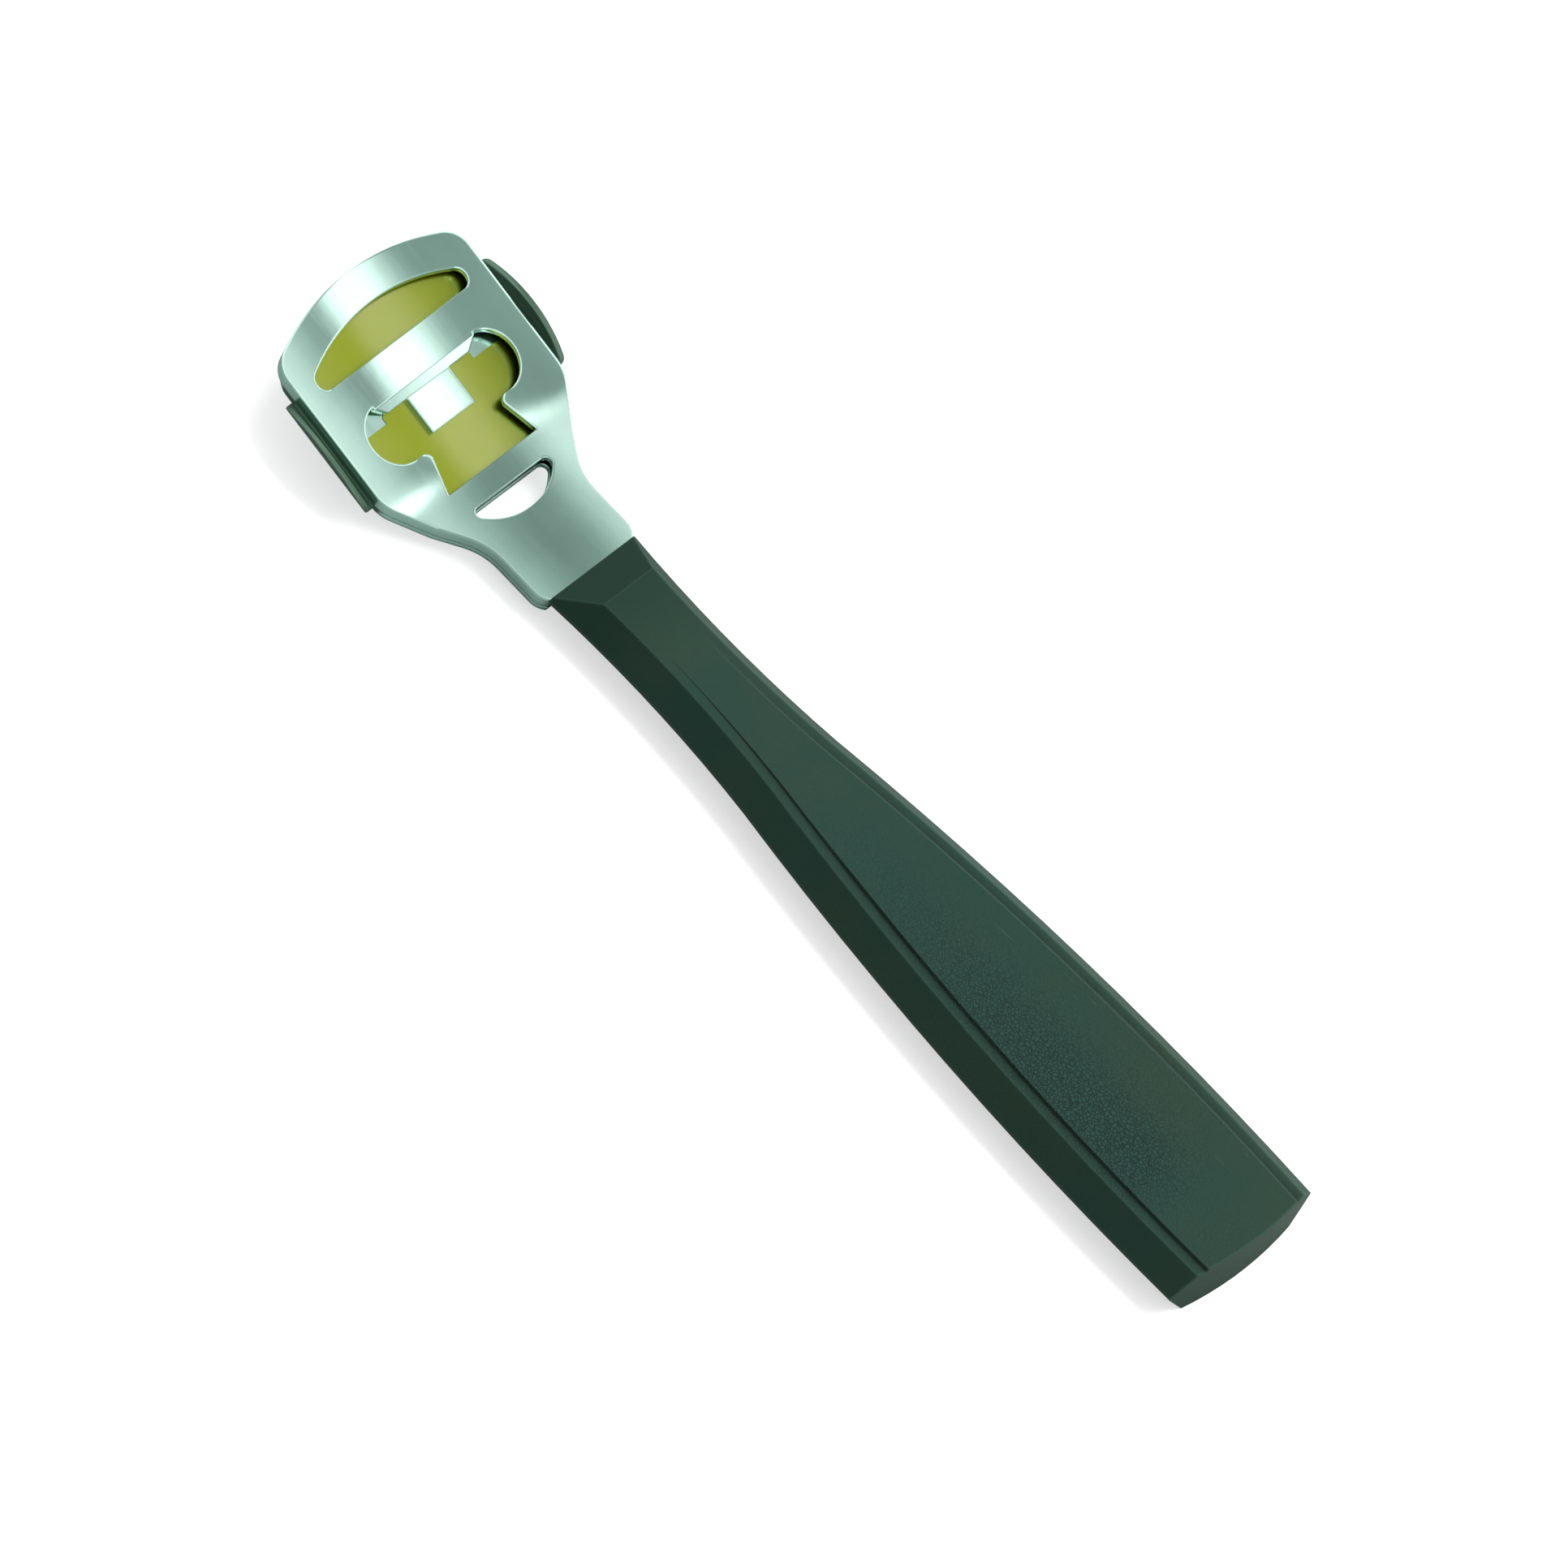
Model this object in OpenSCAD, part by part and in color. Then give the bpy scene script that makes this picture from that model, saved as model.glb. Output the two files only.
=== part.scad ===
// Callus shaver: a moulded grip, a pressed cover and sole that clamp a thin blade between them.
// It lies on the flat underside of its grip. +X points at the head, +Y to its left, +Z up.
// A depth is measured down from the cover's top face, square to it. Head lengths are plan lengths.

/* [Grip] */
// Length of the grip
grip_len = 124; // [100:1:150]
// Width of the grip where it is widest
belly_w = 26.4; // [22:0.2:32]
// Distance from the grip's front to its widest place
belly_at = 106; // [85:1:115]
// Radius of the long outward curve of the grip's sides
belly_r = 510; // [420:10:650]
// Width of the grip where it is narrowest
waist_w = 14.7; // [13:0.1:16]
// Distance from the grip's front to its narrowest place
waist_at = 15; // [12:1:20]
// Height of the grip's edge line above its underside
edge_h = 4.7; // [4:0.1:6]
// Height of the upright band along the edge line
band_h = 0.5; // [0.3:0.05:0.9]
// Rise of the ledges over the edge line
ledge_rise = 4; // [3.4:0.1:5]
// Sideways run of a side slope for each millimetre of its height
slope_run = 0.82; // [0.6:0.02:1]
// Sideways run of the slope under the edge line
under_run = 3; // [2:0.1:4]
// Width of the ledge beside the raised panel
ledge_w = 1.35; // [0.8:0.05:1.8]
// Height of the raised panel over the ledges
panel_rise = 0.45; // [0.2:0.05:0.7]
// Sideways run of the slope between ledge and panel
riser_run = 0.3; // [0.2:0.05:0.5]
// Distance from the grip's front to where the panel starts to rise
panel_from = 16; // [10:1:24]
// Distance from the grip's front to where the panel has its full height
panel_to = 56; // [40:1:70]
// Length of the slope at the nose
nose_len = 5.6; // [4:0.1:8]
// Rise of the nose over the edge line
nose_rise = 0.8; // [0.6:0.05:1.2]
// Radius of the shallow curve of the grip's rear end
end_r = 55; // [40:1:90]

/* [Sheet] */
// Thickness of the cover
cover_t = 0.8; // [0.6:0.05:1]
// Thickness of the sole
sole_t = 0.8; // [0.6:0.05:1]
// Thickness of the blade
blade_t = 0.2; // [0.1:0.05:0.3]
// Depth of the turned-down rim below the cover's top
rim_h = 1.9; // [1.7:0.05:2.3]
// Angle by which the head turns up from the neck
head_pitch = 13; // [6:0.5:20]

/* [Head] */
// Width of the cover
head_w = 33.4; // [31:0.2:37]
// Length of the head from its bend to its front
head_len = 32.4; // [31.8:0.1:35]
// Radius of the head's front edge
front_r = 36; // [30:1:60]
// Radius of the head's front corners
front_corner_r = 3.6; // [2.5:0.1:5]
// Distance from the bend to the rear corner of the head
shoulder_at = 6.4; // [5.5:0.1:7.5]
// Radius of the rear corners of the head
shoulder_r = 5; // [3:0.5:6]

/* [Neck] */
// Length of the neck from the bend to the grip
neck_len = 16.4; // [14:0.2:20]
// Width of the neck
neck_w = 17.1; // [16:0.1:18.5]
// Distance behind the bend at which the neck starts to widen
flare_at = 5.6; // [4.5:0.1:6.5]
// Radius of the hollow curve between neck and head
flare_r = 9; // [6:0.5:12]
// Radius of the neck's rear corners
heel_r = 3; // [2:0.1:4]
// Distance from the grip to the middle of those corners
heel_in = 2.2; // [1.5:0.1:3]
// Length of the tangs inside the grip
tang_len = 32; // [20:1:40]
// Width of the tangs
tang_w = 10.4; // [8:0.1:10.8]
// Height of the cover's top over the grip's edge line
tang_rise = 0.2; // [0:0.05:0.4]
// Clearance around a tang
tang_gap = 0.1; // [0.05:0.01:0.15]

/* [Cover windows] */
// Width of the cover beside the chip window
chip_side = 3.1; // [2.8:0.1:4]
// Distance from the bend to the chip window's rear edge
chip_at = 21.9; // [21.2:0.1:22.2]
// Length of the chip window at its middle
chip_len = 5.8; // [5:0.1:6.2]
// Radius of the chip window's round ends
chip_end_r = 1.5; // [1.2:0.1:1.9]
// Width of the cover beside the blade window's lobes
lobe_side = 3.9; // [3.4:0.1:5]
// Distance from the bend to the rear edge of the lobes
lobe_at = 8.5; // [8:0.05:9]
// Length of the lobes
lobe_len = 8.6; // [8:0.05:9]
// Distance from the bend to the blade window's rear edge
bay_at = 2.5; // [2.2:0.1:3]
// Distance from a lobe's side to the bay's side
bay_side = 6.2; // [5.6:0.1:7]
// Widening of the bay on each side towards its rear edge
bay_flare = 1.5; // [0.8:0.1:1.8]
// Radius of the rounding between lobe and bay
bay_round = 1; // [0.6:0.1:1.2]
// Width of the half-moon hole in the neck
moon_w = 13.6; // [11:0.2:14.4]
// Length of the half-moon hole
moon_len = 4.2; // [3.4:0.1:4.8]
// Distance behind the bend to the half-moon hole
moon_at = 0.8; // [0.7:0.1:1.4]
// Radius of the half-moon hole's round ends
moon_end_r = 0.9; // [0.6:0.1:1.2]

/* [Spring tongue] */
// Width by which the tongue reaches past the lobes' straight edge on each side
tongue_past = 0.7; // [0.4:0.1:1]
// Narrowing of the tongue on each side down to its foot line
tongue_taper = 1.7; // [1:0.1:2.4]
// Length over which the tongue dips
tongue_dip = 1.4; // [1.2:0.1:1.8]
// Width of the foot that presses on the blade
foot_w = 7.7; // [6:0.1:9]
// Length of the foot
foot_len = 5.5; // [4.5:0.1:6]

/* [Blade] */
// Clearance between the blade and the cover's rim
blade_gap = 0.5; // [0.3:0.05:0.8]
// Distance from the bend to the blade's rear edge
blade_at = 2; // [1.8:0.1:2.1]
// Distance from the bend to the blade's cutting edge
blade_to = 29.7; // [29.5:0.1:30]
// Length of the ground bevel at the cutting edge
bevel_len = 0.8; // [0.5:0.1:1.2]
// Width of the blade beside its slot
slot_side = 2; // [1.6:0.1:2.6]
// Distance from the bend to the slot's rear edge
slot_at = 14.7; // [14.4:0.1:14.9]
// Distance from the bend to the slot's front edge
slot_to = 20.8; // [20.2:0.1:21.2]
// Distance from the slot's end to the tabs that narrow it at its middle
tab_side = 5.4; // [4.6:0.1:6]
// Length of each tab
tab_len = 1.2; // [1:0.1:1.3]
// Radius of the tabs' corners
tab_r = 0.55; // [0.4:0.05:0.6]

/* [Sole] */
// Distance from the bend to the sole's front edge
sole_to = 28.4; // [28:0.1:28.7]
// Radius of the sole's front corners
sole_corner_r = 3; // [2:0.1:4]
// Gap between the cover's rim and the start of a wing's bend
wing_gap = 0.3; // [0.2:0.05:0.6]
// Angle by which a wing's wall rises from the sole
wing_lean = 70; // [60:1:76]
// Height of a wing's top over the cover's edge
wing_rise = 0.15; // [0:0.05:0.6]
// Inner radius of the bend below a wing
wing_bend_r = 0.8; // [0.6:0.1:1]
// Thinning of the sheet on each face where a wing is bent up
wing_thin = 0.02; // [0.01:0.01:0.05]
// Distance from the bend to the wing's rear end
wing_at = 7.2; // [7:0.1:9]
// Length of a wing
wing_len = 17; // [14:0.2:18]
// Height of a wing's crowned part, measured to its round ends' lowest point
wing_crown = 4.5; // [4.2:0.1:5.5]
// Radius of a wing's round ends
wing_end_r = 1.6; // [1.2:0.1:1.9]

/* [Hidden] */

$fn = 96;
eps = 0.01;
reach = 100;

// Where the pieces meet
bend_x = grip_len + neck_len;
cover_z = edge_h + tang_rise;
total_len = bend_x + head_len;
blade_depth = rim_h - blade_t;
sole_depth = rim_h + sole_t;

// Widths that follow from the head's
chip_w = head_w - 2 * chip_side;
lobe_w = head_w - 2 * lobe_side;
bay_w = lobe_w - 2 * bay_side;
bay_rear_w = bay_w + 2 * bay_flare;
tongue_w = lobe_w - lobe_len + 2 * tongue_past;
tongue_foot_w = tongue_w - 2 * tongue_taper;
blade_w = head_w - 2 * (cover_t + blade_gap);
slot_w = blade_w - 2 * slot_side;
tab_w = slot_w - 2 * tab_side;

// The grip's side line: an outward arc, and an inward arc that crosses it at a very shallow angle
belly_drop = (belly_w - waist_w) / 2;
arc_span = belly_at - waist_at;
touch_r = (arc_span * arc_span + belly_drop * belly_drop) / (2 * belly_drop) - belly_r;
waist_r = touch_r * 1.03;
belly_centre = [grip_len - belly_at, belly_w / 2 - belly_r];
waist_centre = [grip_len - waist_at, waist_w / 2 + waist_r];
arcs_meet_x = belly_centre[0] + arc_span * belly_r / (belly_r + waist_r);

// Everything to the right of the left side face, which leans from one inset to the other
module within(h, in_low, in_high) {
    far = belly_w / 2 + 2;
    intersection() {
        translate([0, -far, 0])
            cube([grip_len, 2 * far, h]);
        translate(belly_centre)
            cylinder(r1 = belly_r - in_low, r2 = belly_r - in_high, h = h, $fn = 720);
    }
    difference() {
        translate([arcs_meet_x, -far, 0])
            cube([grip_len - arcs_meet_x, 2 * far, h]);
        translate(waist_centre)
            cylinder(r1 = waist_r + in_low, r2 = waist_r + in_high, h = h, $fn = 720);
    }
}

// One storey of the grip between two heights, its side faces leaning from one inset to the other
module storey(low, high, in_low, in_high) {
    translate([0, 0, low])
        intersection() {
            within(high - low, in_low, in_high);
            mirror([0, 1, 0])
                within(high - low, in_low, in_high);
        }
}

// The pocket in the grip for one tang, between two depths below the cover's top
module tang_pocket(from, to) {
    translate([grip_len - tang_len - tang_gap, -tang_w / 2 - tang_gap, cover_z - to - tang_gap])
        cube([tang_len + tang_gap + 1, tang_w + 2 * tang_gap, to - from + 2 * tang_gap]);
}

// All above a plane that passes a height at a distance from the front and rises towards the rear
module above_slope(height, at, slope) {
    run = 2 * panel_z / slope;
    translate([grip_len - at, 0, height])
        rotate([90, 0, 0])
            linear_extrude(belly_w, center = true)
                polygon([[at + 1, -slope * (at + 1)], [at + 1, 2 * panel_z], [-run, 2 * panel_z]]);
}

// Moulded grip with a raised panel, ledges, side slopes and a nose that ramps down to the neck
slope_rise = ledge_rise - band_h / 2;
ledge_in = slope_run * slope_rise;
ledge_z = edge_h + ledge_rise;
panel_z = ledge_z + panel_rise;
module grip() {
    color("#2b4a3e")
    difference() {
        union() {
            storey(0, edge_h - band_h / 2, under_run, 0);
            storey(edge_h - band_h / 2, edge_h + band_h / 2, 0, 0);
            storey(edge_h + band_h / 2, ledge_z, 0, ledge_in);
            difference() {
                storey(ledge_z, panel_z, ledge_in + ledge_w, ledge_in + ledge_w + riser_run);
                above_slope(ledge_z, panel_from, panel_rise / (panel_to - panel_from));
            }
        }
        above_slope(edge_h + nose_rise, 0, (ledge_rise - nose_rise) / nose_len);
        difference() {
            translate([-end_r, -belly_w, -1])
                cube([2 * end_r, 2 * belly_w, panel_z + 2]);
            translate([end_r, 0, -2])
                cylinder(r = end_r, h = panel_z + 4, $fn = 360);
        }
        tang_pocket(0, cover_t);
        tang_pocket(rim_h, sole_depth);
    }
}

// What is drawn for the left side, on both sides
module both_sides() {
    children();
    mirror([0, 1, 0])
        children();
}

// Shared plan outline of head and neck, x forward from the bend, drawn in by an inset
flare_angle = atan2((head_w - neck_w) / 2, shoulder_at + flare_at);
flare_tan = tan(flare_angle / 2);
front_centre = head_len - front_r;
corner_x = front_centre
    + sqrt(pow(front_r - front_corner_r, 2) - pow(head_w / 2 - front_corner_r, 2));

module sheet_outline(inset = 0) {
    head_y = head_w / 2 - inset;
    neck_y = neck_w / 2 - inset;
    shoulder_x = shoulder_at + inset * flare_tan;
    flare_x = -flare_at + inset * flare_tan;
    round_len = (shoulder_r - inset) * flare_tan;
    hollow_len = (flare_r + inset) * flare_tan;
    corner_y = head_w / 2 - front_corner_r;
    difference() {
        union() {
            both_sides() {
                polygon([
                    [-neck_len + heel_in, 0],
                    [-neck_len + heel_in, neck_y],
                    [flare_x - hollow_len, neck_y],
                    [flare_x + hollow_len * cos(flare_angle), neck_y + hollow_len * sin(flare_angle)],
                    [shoulder_x - round_len * cos(flare_angle), head_y - round_len * sin(flare_angle)],
                    [shoulder_x + round_len, head_y],
                    [corner_x, head_y],
                    [corner_x, 0]
                ]);
                translate([shoulder_x + round_len, head_y - shoulder_r + inset])
                    circle(r = shoulder_r - inset);
                translate([corner_x, corner_y])
                    circle(r = front_corner_r - inset);
                translate([-neck_len + heel_in, neck_w / 2 - heel_r])
                    circle(r = heel_r - inset);
                translate([-neck_len - inset, 0])
                    square([heel_in + inset + eps, neck_w / 2 - heel_r]);
            }
            intersection() {
                translate([front_centre, 0])
                    circle(r = front_r - inset, $fn = 360);
                polygon([
                    [front_centre, 0],
                    front_ray(1),
                    front_ray(-1)
                ]);
            }
        }
        for (side = [-1, 1])
            translate([flare_x - hollow_len, side * (neck_w / 2 + flare_r)])
                circle(r = flare_r + inset);
        translate([-neck_len - reach, -reach / 2])
            square([reach, reach]);
    }
}

// A point far out on the ray from the front edge's centre through a front corner's centre
function front_ray(side) = let(
    corner_y = head_w / 2 - front_corner_r,
    stretch = 2
) [front_centre + (corner_x - front_centre) * stretch, side * corner_y * stretch];

// Height of a face at a given depth, over the head's part of the side view
function head_z(x, depth) = x * tan(head_pitch) - depth / cos(head_pitch);

// Side view of a sheet between two depths: level along the neck, then pitched up from the bend
module side_band(from, to) {
    far = head_len + 5;
    back = neck_len + tang_len + 5;
    rotate([90, 0, 0])
        linear_extrude(2 * head_w, center = true)
            polygon([
                [-back, -from],
                [from * tan(head_pitch / 2), -from],
                [far, head_z(far, from)],
                [far, head_z(far, to)],
                [to * tan(head_pitch / 2), -to],
                [-back, -to]
            ]);
}

// A plan outline cut out of the bent sheet between two depths
module pressed(from, to) {
    intersection() {
        translate([0, 0, -to - 2])
            linear_extrude(to + 4 + head_z(head_len, 0))
                children();
        side_band(from, to);
    }
}

// From here on x counts from the bend and z from the cover's top face there
module at_bend() {
    translate([bend_x, 0, cover_z])
        children();
}

// The head's own frame, pitched up with it
module on_head() {
    rotate([0, -head_pitch, 0])
        children();
}

// The strip that runs from the neck into the grip
module tang_outline() {
    translate([-neck_len - tang_len, -tang_w / 2])
        square([tang_len + heel_in, tang_w]);
}

// Half-moon from x = 0, where it is straight, to an arc in front; one rounding at each end joins both
module half_moon(w, len, end_r) {
    end_y = w / 2 - end_r;
    arc_r = (end_y * end_y + len * len - 2 * len * end_r) / (2 * (len - 2 * end_r));
    centre_x = len - arc_r;
    join_x = centre_x + (end_r - centre_x) * arc_r / (arc_r - end_r);
    join_y = end_y * arc_r / (arc_r - end_r);
    both_sides() {
        translate([end_r, end_y])
            circle(r = end_r);
        square([end_r, end_y]);
    }
    intersection() {
        translate([centre_x, 0])
            circle(r = arc_r, $fn = 360);
        polygon([
            [end_r - eps, -end_y],
            [end_r - eps, end_y],
            [join_x, join_y],
            [3 * len, 0],
            [join_x, -join_y]
        ]);
    }
}

// Long window in front, through which the shavings leave
module chip_window() {
    translate([chip_at, 0])
        half_moon(chip_w, chip_len, chip_end_r);
}

// Window with two round lobes and a bay behind them, over the rear half of the blade
module blade_window() {
    lobe_r = lobe_len / 2;
    round_y = bay_w / 2 + bay_round;
    both_sides() {
        translate([lobe_at + lobe_r, lobe_w / 2 - lobe_r])
            circle(r = lobe_r);
        translate([lobe_at, 0])
            square([lobe_len, lobe_w / 2 - lobe_r]);
        difference() {
            translate([lobe_at - bay_round, 0])
                square([bay_round + eps, round_y]);
            translate([lobe_at - bay_round, round_y])
                circle(r = bay_round);
        }
        polygon([
            [lobe_at - bay_round + eps, 0],
            [lobe_at - bay_round + eps, bay_w / 2],
            [lobe_at - bay_round, bay_w / 2],
            [bay_at, bay_rear_w / 2],
            [bay_at, 0]
        ]);
    }
}

// Hole behind the bend, straight in front and round behind
module moon_hole() {
    translate([-moon_at, 0])
        rotate(180)
            half_moon(moon_w, moon_len, moon_end_r);
}

// Spring tongue: dips from the window's front edge and ends in a foot that presses on the blade
module tongue() {
    root_x = lobe_at + lobe_len;
    foot_x = root_x - tongue_dip;
    foot_top = blade_depth - cover_t;
    root_in = 1;
    intersection() {
        rotate([90, 0, 0])
            linear_extrude(tongue_w, center = true)
                polygon([
                    [root_x + root_in, -eps],
                    [root_x, -eps],
                    [foot_x, -foot_top],
                    [foot_x - foot_len, -foot_top],
                    [foot_x - foot_len, -blade_depth],
                    [foot_x + cover_t * 0.3, -blade_depth],
                    [root_x + cover_t * 0.3, -cover_t + eps],
                    [root_x + root_in, -cover_t + eps]
                ]);
        translate([0, 0, -reach / 2])
            linear_extrude(reach)
                polygon([
                    [root_x + root_in, tongue_w / 2],
                    [root_x, tongue_w / 2],
                    [foot_x, tongue_foot_w / 2],
                    [foot_x, foot_w / 2],
                    [foot_x - foot_len, foot_w / 2],
                    [foot_x - foot_len, -foot_w / 2],
                    [foot_x, -foot_w / 2],
                    [foot_x, -tongue_foot_w / 2],
                    [root_x, -tongue_w / 2],
                    [root_x + root_in, -tongue_w / 2]
                ]);
    }
}

// Pressed and plated cover with its windows, turned-down rim, spring tongue and tang
module cover() {
    color("#b9cfc6")
    at_bend() {
        pressed(0, cover_t)
            difference() {
                union() {
                    sheet_outline();
                    tang_outline();
                }
                moon_hole();
                chip_window();
                blade_window();
            }
        pressed(0, rim_h)
            difference() {
                sheet_outline();
                sheet_outline(cover_t);
            }
        on_head()
            tongue();
    }
}

// Slot in the blade with a tab at the middle of each long side
module blade_slot() {
    difference() {
        translate([slot_at, -slot_w / 2])
            square([slot_to - slot_at, slot_w]);
        for (low = [true, false])
            translate([low ? slot_at : slot_to, 0])
                rotate(low ? 0 : 180) {
                    translate([-eps, -tab_w / 2 + tab_r])
                        square([tab_len + eps, tab_w - 2 * tab_r]);
                    translate([-eps, -tab_w / 2])
                        square([tab_len - tab_r + eps, tab_w]);
                    for (side = [-1, 1])
                        translate([tab_len - tab_r, side * (tab_w / 2 - tab_r)])
                            circle(r = tab_r);
                }
    }
}

// Thin slotted blade, ground to a cutting edge in front, lying on the sole
module blade() {
    color("#b5a642")
    at_bend()
    on_head()
        intersection() {
            translate([0, 0, -rim_h])
                linear_extrude(blade_t)
                    difference() {
                        intersection() {
                            translate([blade_at, -blade_w / 2])
                                square([blade_to - blade_at, blade_w]);
                            sheet_outline(cover_t + blade_gap);
                        }
                        blade_slot();
                    }
            rotate([90, 0, 0])
                linear_extrude(2 * blade_w, center = true)
                    polygon([
                        [0, -rim_h - 1],
                        [blade_to, -rim_h - 1],
                        [blade_to, -rim_h],
                        [blade_to - bevel_len, -blade_depth],
                        [blade_to - bevel_len, 0],
                        [0, 0]
                    ]);
        }
}

// Sole outline: the cover's outline, cut short in front with round corners
module sole_outline() {
    corner_y = head_w / 2 - sole_corner_r;
    difference() {
        intersection() {
            sheet_outline();
            union() {
                translate([-reach, -reach / 2])
                    square([reach + sole_to - sole_corner_r, reach]);
                translate([0, -corner_y])
                    square([sole_to, 2 * corner_y]);
                for (side = [-1, 1])
                    translate([sole_to - sole_corner_r, side * corner_y])
                        circle(r = sole_corner_r);
            }
        }
        moon_hole();
    }
}

// Cross-section of a wing: strip under the cover's rim, bend, and a wall that leans outwards
wing_t = sole_t - 2 * wing_thin;
wing_low = wing_thin - sole_depth;
wing_out_r = wing_bend_r + wing_t;
wing_bend_y = head_w / 2 + wing_gap;
wing_bend_z = wing_low + wing_out_r;
wing_wall = (wing_rise - wing_low) / sin(wing_lean) + 1;
wing_y = wing_bend_y + wing_out_r + wing_wall;
module wing_section() {
    inner_y = head_w / 2 - 2;
    translate([inner_y, wing_low])
        square([wing_bend_y - inner_y, wing_t]);
    translate([wing_bend_y, wing_bend_z]) {
        intersection() {
            difference() {
                circle(r = wing_out_r);
                circle(r = wing_bend_r);
            }
            polygon([
                [0, 0],
                [0, -2 * wing_out_r],
                [2 * wing_out_r * tan(wing_lean / 2), -2 * wing_out_r],
                [2 * wing_out_r * sin(wing_lean), -2 * wing_out_r * cos(wing_lean)]
            ]);
        }
        rotate(wing_lean)
            translate([0, -wing_out_r])
                square([wing_wall, wing_t]);
    }
}

// Side view of a wing: a crowned upper edge over round ends
module wing_profile() {
    low = -sole_depth - 1;
    crown_z = wing_rise - wing_crown;
    translate([wing_at + wing_len / 2, crown_z])
        rotate(90)
            half_moon(wing_len, wing_crown, wing_end_r);
    if (crown_z + wing_end_r > low)
        translate([wing_at, low])
            square([wing_len, crown_z + wing_end_r - low]);
}

module wing() {
    on_head()
        intersection() {
            translate([wing_at - 1, 0, 0])
                rotate([90, 0, 90])
                    linear_extrude(wing_len + 2)
                        wing_section();
            translate([0, wing_y + 1, 0])
                rotate([90, 0, 0])
                    linear_extrude(wing_y)
                        wing_profile();
        }
}

// Pressed and plated sole with an upturned wing at each side and its own tang
module sole() {
    color("#5f7f72")
    at_bend() {
        pressed(rim_h, sole_depth)
            union() {
                sole_outline();
                tang_outline();
            }
        both_sides()
            wing();
    }
}

translate([-total_len / 2, 0, 0]) {
    grip();
    cover();
    blade();
    sole();
}
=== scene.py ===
import math

import bpy
from mathutils import Matrix, Vector

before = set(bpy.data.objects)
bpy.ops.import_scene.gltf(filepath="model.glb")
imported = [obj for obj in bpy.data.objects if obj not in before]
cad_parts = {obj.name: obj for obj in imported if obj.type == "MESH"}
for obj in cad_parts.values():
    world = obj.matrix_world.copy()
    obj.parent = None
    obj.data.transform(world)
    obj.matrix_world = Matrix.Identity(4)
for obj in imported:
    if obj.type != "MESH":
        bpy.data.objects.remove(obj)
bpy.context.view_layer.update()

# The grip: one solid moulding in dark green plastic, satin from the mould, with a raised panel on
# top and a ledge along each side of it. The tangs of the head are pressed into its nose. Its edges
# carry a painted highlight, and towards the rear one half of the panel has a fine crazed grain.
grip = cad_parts["grip"]


def put(tree, socket, given):
    """Set a node's input to a plain value, or link it to what another node gives."""
    if isinstance(given, bpy.types.NodeSocket):
        tree.links.new(given, socket)
    else:
        socket.default_value = given


def parted(tree, vector):
    """The X, Y and Z of a vector."""
    made = tree.nodes.new("ShaderNodeSeparateXYZ")
    tree.links.new(vector, made.inputs["Vector"])
    return made.outputs["X"], made.outputs["Y"], made.outputs["Z"]


def fade(tree, value, limits, levels=(0.0, 1.0), smooth=False):
    """A level that goes from the first to the second while a value goes from limit to limit."""
    made = tree.nodes.new("ShaderNodeMapRange")
    if smooth:
        made.interpolation_type = "SMOOTHSTEP"
    made.inputs["From Min"].default_value = limits[0]
    made.inputs["From Max"].default_value = limits[1]
    made.inputs["To Min"].default_value = levels[0]
    made.inputs["To Max"].default_value = levels[1]
    tree.links.new(value, made.inputs["Value"])
    return made.outputs["Result"]


def mixed(tree, kind, share, under, over):
    """Two colours or levels mixed, with none of the second at a share of 0 and all of it at 1."""
    made = tree.nodes.new("ShaderNodeMix")
    made.data_type = kind
    tree.links.new(share, made.inputs["Factor"])
    put(tree, made.inputs["A"], under)
    put(tree, made.inputs["B"], over)
    return made.outputs["Result"]


def toned(tree, value, stops):
    """A colour that changes along a value, through stops of a position and a colour."""
    made = tree.nodes.new("ShaderNodeValToRGB")
    elements = made.color_ramp.elements
    for at, (position, colour) in enumerate(stops):
        if at < 2:
            stop = elements[at]
            stop.position = position
        else:
            stop = elements.new(position)
        stop.color = colour
    tree.links.new(value, made.inputs["Fac"])
    return made.outputs["Color"]


def mottled(tree, place, scale, detail, roughness=0.5):
    """An uneven pattern over a piece: its Fac is a level and its Color is a vector."""
    made = tree.nodes.new("ShaderNodeTexNoise")
    made.inputs["Scale"].default_value = scale
    made.inputs["Detail"].default_value = detail
    made.inputs["Roughness"].default_value = roughness
    tree.links.new(place, made.inputs["Vector"])
    return made.outputs


plastic = bpy.data.materials.new("green_moulded_plastic")
plastic.use_nodes = True
tree = plastic.node_tree
shader = tree.nodes["Principled BSDF"]
shader.inputs["IOR"].default_value = 1.48
shader.inputs["Specular IOR Level"].default_value = 0.18
place = tree.nodes.new("ShaderNodeTexCoord").outputs["Object"]
x, y, z = parted(tree, place)

# Broad drift between a bluer and a more olive green, and painted shade: darker towards the nose
bluer_green = (0.0145, 0.046, 0.0350, 1)
olive_green = (0.0225, 0.048, 0.0290, 1)
painted_nose_shade = (0.0095, 0.034, 0.0225, 1)
drift = mottled(tree, place, 42.0, 4.0, 0.6)["Fac"]
colour = toned(tree, drift, ((0.36, bluer_green), (0.66, olive_green)))
# Painted shade on the nose's slope, which faces away from the light
toward_nose = fade(tree, x, (0.020, 0.032), (0.0, 0.8), smooth=True)
colour = mixed(tree, "RGBA", toward_nose, colour, painted_nose_shade)


def maths(tree, operation, *values):
    """A sum or a product of plain numbers and of what other nodes give."""
    made = tree.nodes.new("ShaderNodeMath")
    made.operation = operation
    for at, value in enumerate(values):
        put(tree, made.inputs[at], value)
    return made.outputs["Value"]


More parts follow.
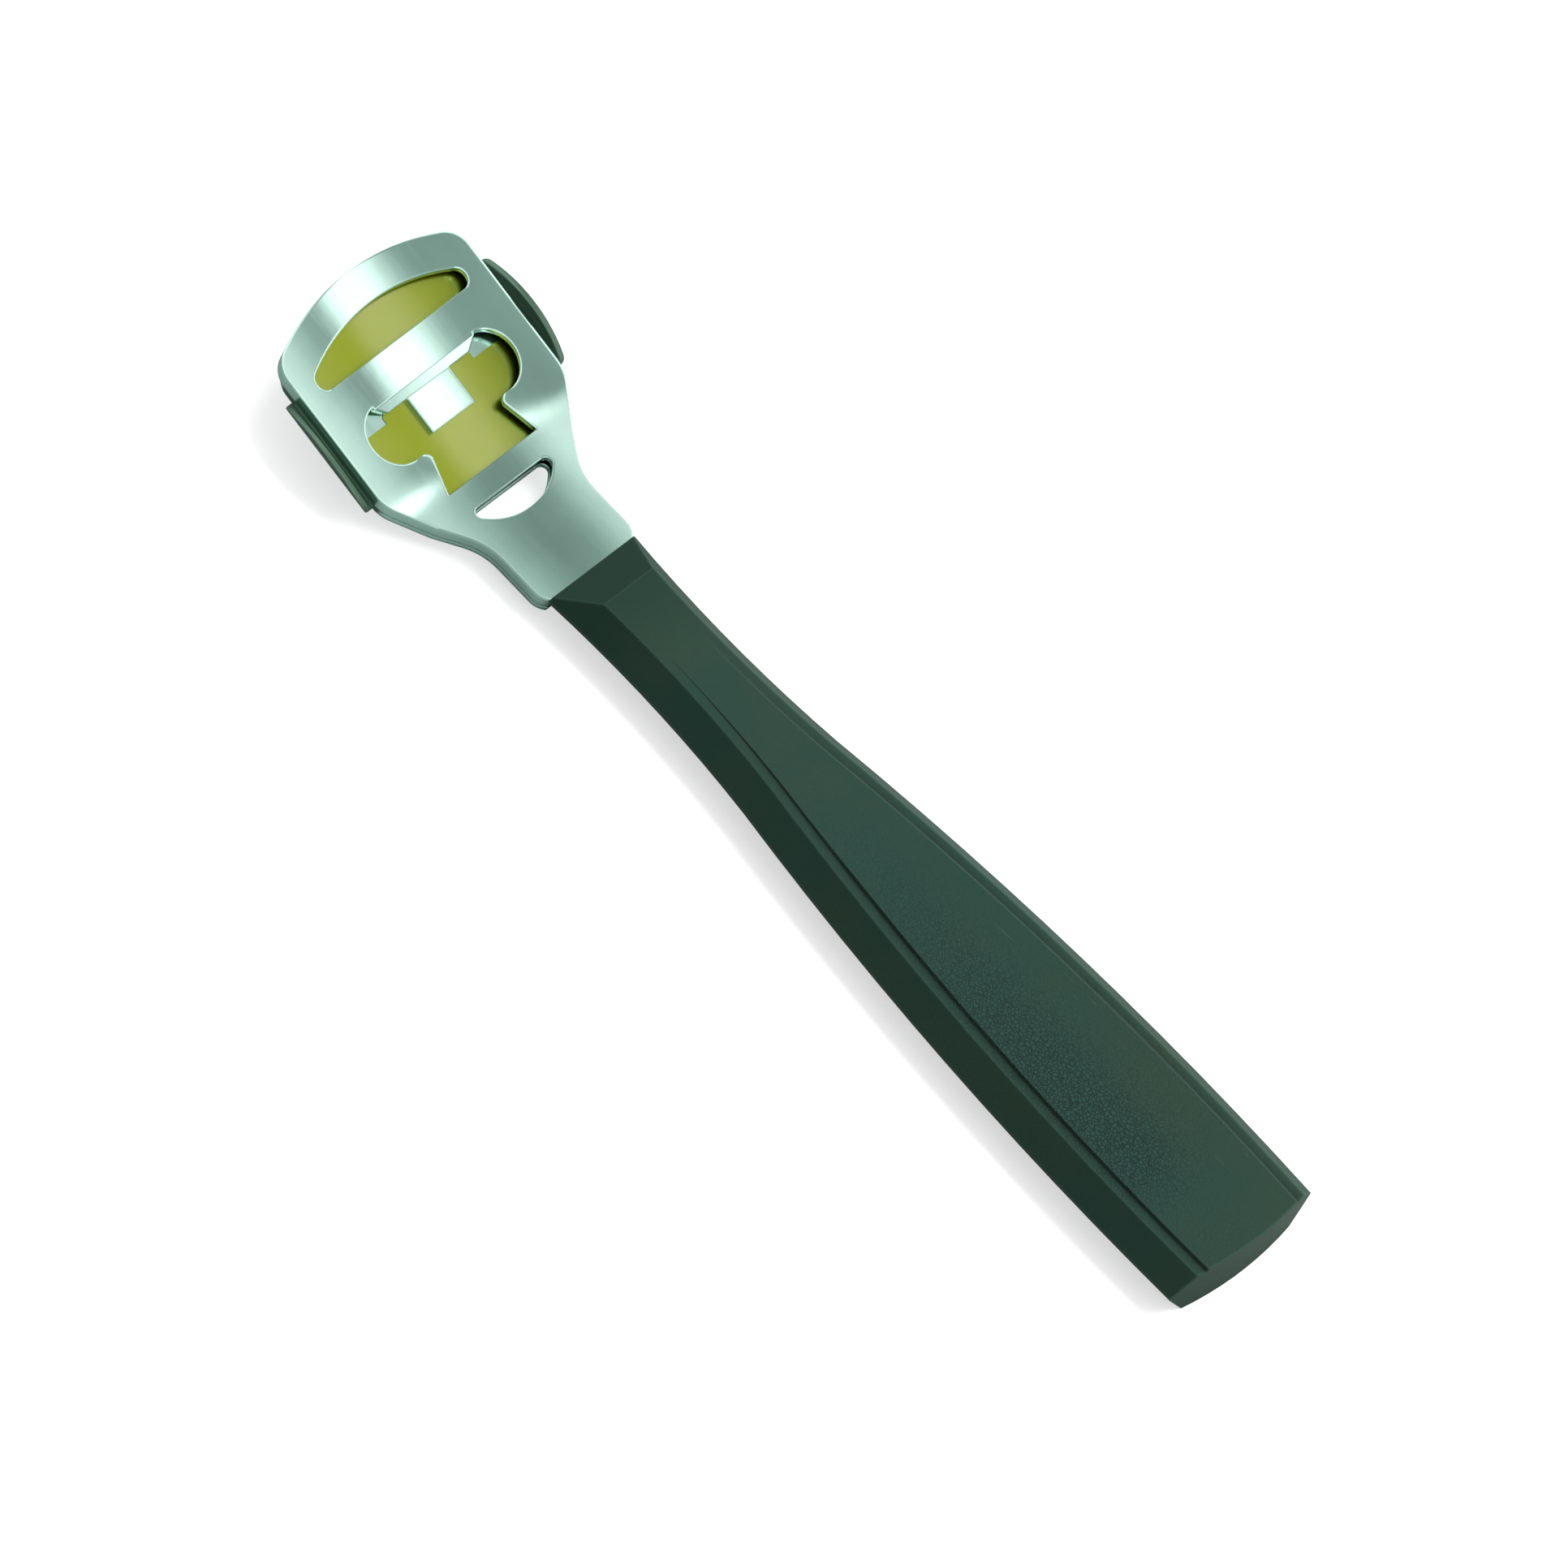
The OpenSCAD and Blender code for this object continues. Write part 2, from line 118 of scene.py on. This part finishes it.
def vectors(tree, operation, *values):
    """The same for vectors. A dot product and a distance give a number."""
    made = tree.nodes.new("ShaderNodeVectorMath")
    made.operation = operation
    for at, value in enumerate(values):
        put(tree, made.inputs[at], value)
    return made.outputs["Value" if operation in ("DOT_PRODUCT", "DISTANCE") else "Vector"]


# The crazed grain: fine cells with wavering cracks. It is strongest on the panel's rear half, on
# the side where Y is positive, and stops short of the end. Its furrows are darker.
crazed_green = (0.0150, 0.053, 0.0435, 1)
furrow_green = (0.005, 0.016, 0.015, 1)
waver = 0.0006
waver_of = mottled(tree, place, 900.0, 3.0)["Color"]
grain = tree.nodes.new("ShaderNodeTexVoronoi")
grain.feature = "DISTANCE_TO_EDGE"
grain.inputs["Scale"].default_value = 1900.0
wavering = vectors(tree, "MULTIPLY_ADD", waver_of, (waver, waver, waver), place)
tree.links.new(wavering, grain.inputs["Vector"])
from_crack = grain.outputs["Distance"]
rearward = fade(tree, x, (0.0, -0.055), (0.12, 0.75), smooth=True)
on_side = fade(tree, y, (-0.006, 0.004), (0.25, 1.0), smooth=True)
off_end = fade(tree, x, (-0.080, -0.068), (0.25, 1.0), smooth=True)
on_panel = fade(tree, z, (0.0084, 0.0090), (0.15, 1.0))
side_and_end = maths(tree, "MULTIPLY", on_side, off_end)
rear_panel = maths(tree, "MULTIPLY", rearward, on_panel)
crazed_here = maths(tree, "MULTIPLY", side_and_end, rear_panel)
furrow = fade(tree, from_crack, (0.0, 0.15), (1.0, 0.0))
furrow_here = maths(tree, "MULTIPLY", furrow, crazed_here)
colour = mixed(tree, "RGBA", crazed_here, colour, crazed_green)
colour = mixed(tree, "RGBA", furrow_here, colour, furrow_green)


def streaked(tree, place, turn, scale, detail):
    """An uneven pattern drawn out into thin streaks, which are turned about Z."""
    made = tree.nodes.new("ShaderNodeMapping")
    made.inputs["Rotation"].default_value = (0, 0, turn)
    made.inputs["Scale"].default_value = scale
    tree.links.new(place, made.inputs["Vector"])
    return mottled(tree, made.outputs["Vector"], 1.0, detail)["Fac"]


# Scuffs: thin light scratches, most of them at the rear, on the side where Y is negative
scuffed_green = (0.060, 0.115, 0.095, 1)
scratches = streaked(tree, place, 0.5, (160, 1500, 160), 2.0)
scratch = fade(tree, scratches, (0.70, 0.80))
scratch_side = fade(tree, y, (-0.002, -0.010))
side_scratch = maths(tree, "MULTIPLY", scratch, scratch_side)
scuffed_here = maths(tree, "MULTIPLY", side_scratch, rearward)
colour = mixed(tree, "RGBA", scuffed_here, colour, scuffed_green)


def softened(tree, radius, samples):
    """The surface's normal with its edges rounded."""
    made = tree.nodes.new("ShaderNodeBevel")
    made.samples = samples
    made.inputs["Radius"].default_value = radius
    return made.outputs["Normal"]


# Edges: rounded by half a millimetre, with a painted highlight where the rounded normal leaves the flat
edge_highlight_green = (0.045, 0.095, 0.072, 1)
rounded = softened(tree, 0.0005, 8)
flat = tree.nodes.new("ShaderNodeNewGeometry").outputs["True Normal"]
flatness = vectors(tree, "DOT_PRODUCT", rounded, flat)
edge_highlight_here = fade(tree, flatness, (0.998, 0.95), (0.0, 0.75))
colour = mixed(tree, "RGBA", edge_highlight_here, colour, edge_highlight_green)

# Painted shade: a dark line with an uneven edge in the corner beside the raised panel
corner_shade_green = (0.004, 0.010, 0.008, 1)
corner = tree.nodes.new("ShaderNodeAmbientOcclusion")
corner.samples = 12
corner.only_local = True
corner.inputs["Distance"].default_value = 0.0014
uneven = mottled(tree, place, 300.0, 3.0)["Fac"]
openness = maths(tree, "MULTIPLY_ADD", uneven, 0.12, corner.outputs["AO"])
corner_shade_here = fade(tree, openness, (0.84, 1.03), (0.92, 0.0))
colour = mixed(tree, "RGBA", corner_shade_here, colour, corner_shade_green)
tree.links.new(colour, shader.inputs["Base Color"])


def bumped(tree, normal, height, strength, depth):
    """A normal that follows a pattern's height."""
    made = tree.nodes.new("ShaderNodeBump")
    made.inputs["Distance"].default_value = depth
    put(tree, made.inputs["Strength"], strength)
    tree.links.new(height, made.inputs["Height"])
    tree.links.new(normal, made.inputs["Normal"])
    return made.outputs["Normal"]


# The satin skin: a gloss that drifts with the colour, a slight ripple, and the grain's cells
gloss = fade(tree, drift, (0.0, 1.0), (0.36, 0.50))
tree.links.new(gloss, shader.inputs["Roughness"])
ripple = mottled(tree, place, 520.0, 4.0)["Fac"]
cells = fade(tree, from_crack, (0.0, 0.12))
rippled = bumped(tree, rounded, ripple, 0.10, 0.0002)
crazed = bumped(tree, rippled, cells, crazed_here, 0.00012)
tree.links.new(crazed, shader.inputs["Normal"])
grip.data.materials.clear()
grip.data.materials.append(plastic)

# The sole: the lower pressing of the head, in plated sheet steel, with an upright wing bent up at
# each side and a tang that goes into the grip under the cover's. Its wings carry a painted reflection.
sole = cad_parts["sole"]
plating = (0.64, 0.90, 0.80)
dark_wing_reflection_colour = (0.070, 0.125, 0.088)
wing_from_middle = (0.0163, 0.0166)
head_pitch = math.radians(13)
bow_radius = 0.10


def joined(tree, *parts):
    """A vector from its X, Y and Z. A part that isn't given stays 0."""
    made = tree.nodes.new("ShaderNodeCombineXYZ")
    for at, part in enumerate(parts):
        tree.links.new(part, made.inputs[at])
    return made.outputs["Vector"]


def shaded(tint, by):
    """A colour made lighter or darker."""
    return tuple(min(1, part * by) for part in tint) + (1,)


def sheet_steel(name, tint, gloss, edge, rolled_bend=None, painted_wing_reflection=None, coat_ior=None, crown=0.0):
    """A pressed sheet: streaked polish, soft edges, and the slight bow and rolled bend of a pressing.

    gloss is the least and the most roughness, and edge the radius of the edges. The bow is highest
    at crown, along Y. rolled_bend is where along X the neck turns into the head.
    """
    made = bpy.data.materials.new(name)
    made.use_nodes = True
    tree = made.node_tree
    shader = tree.nodes["Principled BSDF"]
    shader.inputs["Metallic"].default_value = 1.0
    place = tree.nodes.new("ShaderNodeTexCoord").outputs["Object"]
    x, y, z = parted(tree, place)

    # Long fine polishing streaks with a slow change of tone under them
    streaks = streaked(tree, place, 0.12, (45, 1100, 200), 5.0)
    clouds = mottled(tree, place, 90.0, 3.0)["Fac"]
    colour = toned(tree, clouds, ((0.30, shaded(tint, 0.90)), (0.72, shaded(tint, 1.04))))
    # On the wings, a painted reflection: dark green with lighter streaks, and less metal
    if painted_wing_reflection:
        aside = maths(tree, "ABSOLUTE", y)
        on_wing = fade(tree, aside, wing_from_middle)
        wing_reflection_streaks = toned(tree, streaks, ((0.48, shaded(painted_wing_reflection, 1.0)), (0.74, shaded(painted_wing_reflection, 2.0))))
        colour = mixed(tree, "RGBA", on_wing, colour, wing_reflection_streaks)
        bright_metal = maths(tree, "MULTIPLY_ADD", on_wing, -0.7, 1.0)
        tree.links.new(bright_metal, shader.inputs["Metallic"])
        shader.inputs["Specular IOR Level"].default_value = 0.1
    tree.links.new(colour, shader.inputs["Base Color"])
    roughness = fade(tree, streaks, (0.0, 1.0), gloss)
    tree.links.new(roughness, shader.inputs["Roughness"])

    # Soft edges, then the bow and the rolled bend, both by leaning the normal
    facing_x, facing_y, facing_z = parted(tree, softened(tree, edge, 12))
    from_crown = maths(tree, "SUBTRACT", y, crown)
    lean = maths(tree, "MULTIPLY", from_crown, facing_z)
    facing_y = maths(tree, "MULTIPLY_ADD", lean, 1 / bow_radius, facing_y)
    if rolled_bend:
        pitch = fade(tree, x, rolled_bend, (0.0, -math.sin(head_pitch)), smooth=True)
        on_top = fade(tree, facing_z, (0.80, 0.95), smooth=True)
        facing_x = mixed(tree, "FLOAT", on_top, facing_x, pitch)
    bowed = vectors(tree, "NORMALIZE", joined(tree, facing_x, facing_y, facing_z))
    wavy = bumped(tree, bowed, clouds, 0.06, 0.0003)
    polished = bumped(tree, wavy, streaks, 0.03, 0.00005)
    tree.links.new(polished, shader.inputs["Normal"])
    if coat_ior:
        shader.inputs["Coat Weight"].default_value = 1.0
        shader.inputs["Coat IOR"].default_value = coat_ior
        shader.inputs["Coat Roughness"].default_value = 0.09
        tree.links.new(polished, shader.inputs["Coat Normal"])
    return made


sole.data.materials.clear()
sole.data.materials.append(
    sheet_steel("sole_plating", plating, gloss=(0.14, 0.24), edge=0.0003, painted_wing_reflection=dark_wing_reflection_colour)
)

# The blade: thin spring steel with a warm gold-olive finish, ground to a bevel at its front edge.
# It lies on the sole, and the cover's spring tongue holds it down.
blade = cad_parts["blade"]
gold_olive = (0.35, 0.41, 0.016)
blade.data.materials.clear()
blade.data.materials.append(
    sheet_steel(
        "gold_olive_steel", gold_olive, gloss=(0.27, 0.36), edge=0.00005, coat_ior=1.7, crown=-0.002
    )
)

# The cover: the upper pressing, in brightly plated sheet steel, with two windows over the blade,
# its rim turned down all round, and a tang that goes into the grip.
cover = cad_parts["cover"]
neck_to_head = (0.055, 0.062)
cover.data.materials.clear()
cover.data.materials.append(
    sheet_steel("bright_plating", plating, gloss=(0.07, 0.15), edge=0.0004, rolled_bend=neck_to_head)
)

# The studio floor: a sheet of pale paper just under the grip. It glows for the camera, so that it
# is white right up to the soft shadow, and what the plated faces mirror of it is darker.
paper_white = (0.90, 0.90, 0.90, 1)
paper_mirrored = (0.34, 0.40, 0.38, 1)
camera_glow = 0.59
under_grip = -0.00005
bpy.ops.object.select_all(action="DESELECT")
bpy.ops.mesh.primitive_plane_add(size=6.0, location=(0, 0, under_grip))
floor = bpy.context.object
floor.name = "studio_floor"
paper = bpy.data.materials.new("pale_paper")
paper.use_nodes = True
tree = paper.node_tree
shader = tree.nodes["Principled BSDF"]
shader.inputs["Roughness"].default_value = 0.9
shader.inputs["Specular IOR Level"].default_value = 0.0
shader.inputs["Emission Color"].default_value = (1, 1, 1, 1)
rays = tree.nodes.new("ShaderNodeLightPath")
glow = maths(tree, "MULTIPLY", rays.outputs["Is Camera Ray"], camera_glow)
tree.links.new(glow, shader.inputs["Emission Strength"])
paper_colour = mixed(tree, "RGBA", rays.outputs["Is Glossy Ray"], paper_white, paper_mirrored)
tree.links.new(paper_colour, shader.inputs["Base Color"])
floor.data.materials.append(paper)

# The studio room: white to the camera. Matt faces are lit by a room that is brighter on the far
# side, where Y is negative, and polished faces mirror walls with bright and dark bands.
room = bpy.data.worlds.new("studio_room")
bpy.context.scene.world = room
room.use_nodes = True
tree = room.node_tree
background = tree.nodes["Background"]
rays = tree.nodes.new("ShaderNodeLightPath")
heading = tree.nodes.new("ShaderNodeTexCoord").outputs["Generated"]
x, y, z = parted(tree, heading)
wall_end = 1.2


def wall(across, bands):
    """A wall's brightness along a heading between -1.2 and 1.2, through bands of a place and a level."""
    along = fade(tree, across, (-wall_end, wall_end))
    return toned(tree, along, [
        ((place + wall_end) / (2 * wall_end), (level, level, level, 1))
        for place, level in bands
    ])


# The pitched head mirrors one wall, and the level neck another, which is further forward. A small
# lamp hangs almost overhead.
slant = maths(tree, "MULTIPLY_ADD", x, 0.5, y)
head_wall = wall(slant, (
    (-1.20, 1.80), (-0.93, 1.50), (-0.82, 0.34), (-0.70, 0.34), (-0.665, 0.60), (-0.63, 1.15),
    (-0.60, 1.80), (-0.515, 1.80), (-0.495, 1.00), (-0.475, 0.26), (-0.446, 0.27), (-0.378, 0.62),
    (-0.34, 0.82), (-0.28, 1.05), (-0.10, 1.40), (0.10, 1.20), (0.30, 0.45), (1.20, 0.35),
))
neck_wall = wall(y, (
    (-1.20, 0.95), (-0.64, 0.95), (-0.59, 0.60), (-0.54, 0.32), (-0.47, 0.28), (-0.44, 0.29),
    (-0.40, 0.40), (-0.345, 0.55), (-0.29, 0.85), (-0.10, 0.70), (0.30, 0.40), (1.20, 0.35),
))
ahead = fade(tree, x, (0.0, 0.18))
walls = mixed(tree, "FLOAT", ahead, head_wall, neck_wall)
lamp_heading = (0.0, -0.22, 0.0)
off_lamp = vectors(tree, "DISTANCE", joined(tree, x, y), lamp_heading)
small_lamp = fade(tree, off_lamp, (0.14, 0.06), (0.0, 0.9), smooth=True)
mirrored = maths(tree, "ADD", walls, small_lamp)

# What lights matt faces, and then which of the three levels a look into the room gets
toward_near = maths(tree, "MULTIPLY_ADD", x, 0.45, y)
fill = fade(tree, toward_near, (-1.0, 0.8), (1.40, 0.05))
lit = mixed(tree, "FLOAT", rays.outputs["Is Glossy Ray"], fill, mirrored)
seen = mixed(tree, "FLOAT", rays.outputs["Is Camera Ray"], lit, 1.0)
tree.links.new(seen, background.inputs["Strength"])

# The room is white, but the dark bands of the mirrored walls are a little green
dark_band_green = (0.84, 1.0, 0.955, 1)
room_white = (1, 1, 1, 1)
bright_band = fade(tree, mirrored, (0.30, 0.90))
unmirrored = maths(tree, "SUBTRACT", 1.0, rays.outputs["Is Glossy Ray"])
whiteness = maths(tree, "MAXIMUM", bright_band, unmirrored)
hue = mixed(tree, "RGBA", whiteness, dark_band_green, room_white)
tree.links.new(hue, background.inputs["Color"])


# The lamp: one long soft box high over the far side, which casts the soft shadow. Polished faces
# mirror the room's walls and not this lamp.
def aimed(place, side, up, back):
    """A lamp's or a camera's place and axes as one matrix."""
    return Matrix.Translation(place) @ Matrix((side, up, back)).transposed().to_4x4()


head_middle = Vector((0.070, 0.0, 0.010))
toward_lamp = Vector((-0.1925, -0.4912, 0.851))
lamp_distance = 0.8
lamp_data = bpy.data.lights.new("long_soft_lamp", "AREA")
lamp_data.shape = "RECTANGLE"
lamp_data.size = 0.9
lamp_data.size_y = 0.5
lamp_data.energy = 6.5
lamp = bpy.data.objects.new("long_soft_lamp", lamp_data)
lamp.visible_glossy = False
bpy.context.scene.collection.objects.link(lamp)
lamp_back = toward_lamp.normalized()
lamp_side = Vector((1, 0, 0))
lamp_side = (lamp_side - lamp_back * lamp_side.dot(lamp_back)).normalized()
lamp_up = lamp_back.cross(lamp_side)
lamp_place = head_middle + toward_lamp * lamp_distance
lamp.matrix_world = aimed(lamp_place, lamp_side, lamp_up, lamp_back)

# The camera: far off and without perspective, looking down on the near side from beside the grip,
# rolled so that the head lies towards the frame's upper left. The middle of the grip's nose lands
# on its place in the photograph, and one millimetre takes as many pixels as there.
photo_width_px = 1932
middle_px = photo_width_px / 2
px_per_mm = 9.63
metres_per_px = 0.001 / px_per_mm
camera_distance = 0.8
right = Vector((-0.6784, -0.6950, 0.2420)).normalized()
up = Vector((0.7077, -0.5270, 0.4717))
up = (up - right * up.dot(right)).normalized()
back = right.cross(up)
nose = Vector((0.0376, 0.0, 0.0047))
nose_px = (729, 702)
to_the_right = (middle_px - nose_px[0]) * metres_per_px
downwards = (middle_px - nose_px[1]) * metres_per_px
target = nose + right * to_the_right - up * downwards
camera_data = bpy.data.cameras.new("photo_camera")
camera_data.type = "ORTHO"
camera_data.ortho_scale = photo_width_px * metres_per_px
camera_data.clip_start = 0.01
camera_data.clip_end = 10.0
camera = bpy.data.objects.new("photo_camera", camera_data)
bpy.context.scene.collection.objects.link(camera)
camera.matrix_world = aimed(target + back * camera_distance, right, up, back)
bpy.context.scene.camera = camera
bpy.context.scene.view_settings.view_transform = "Standard"
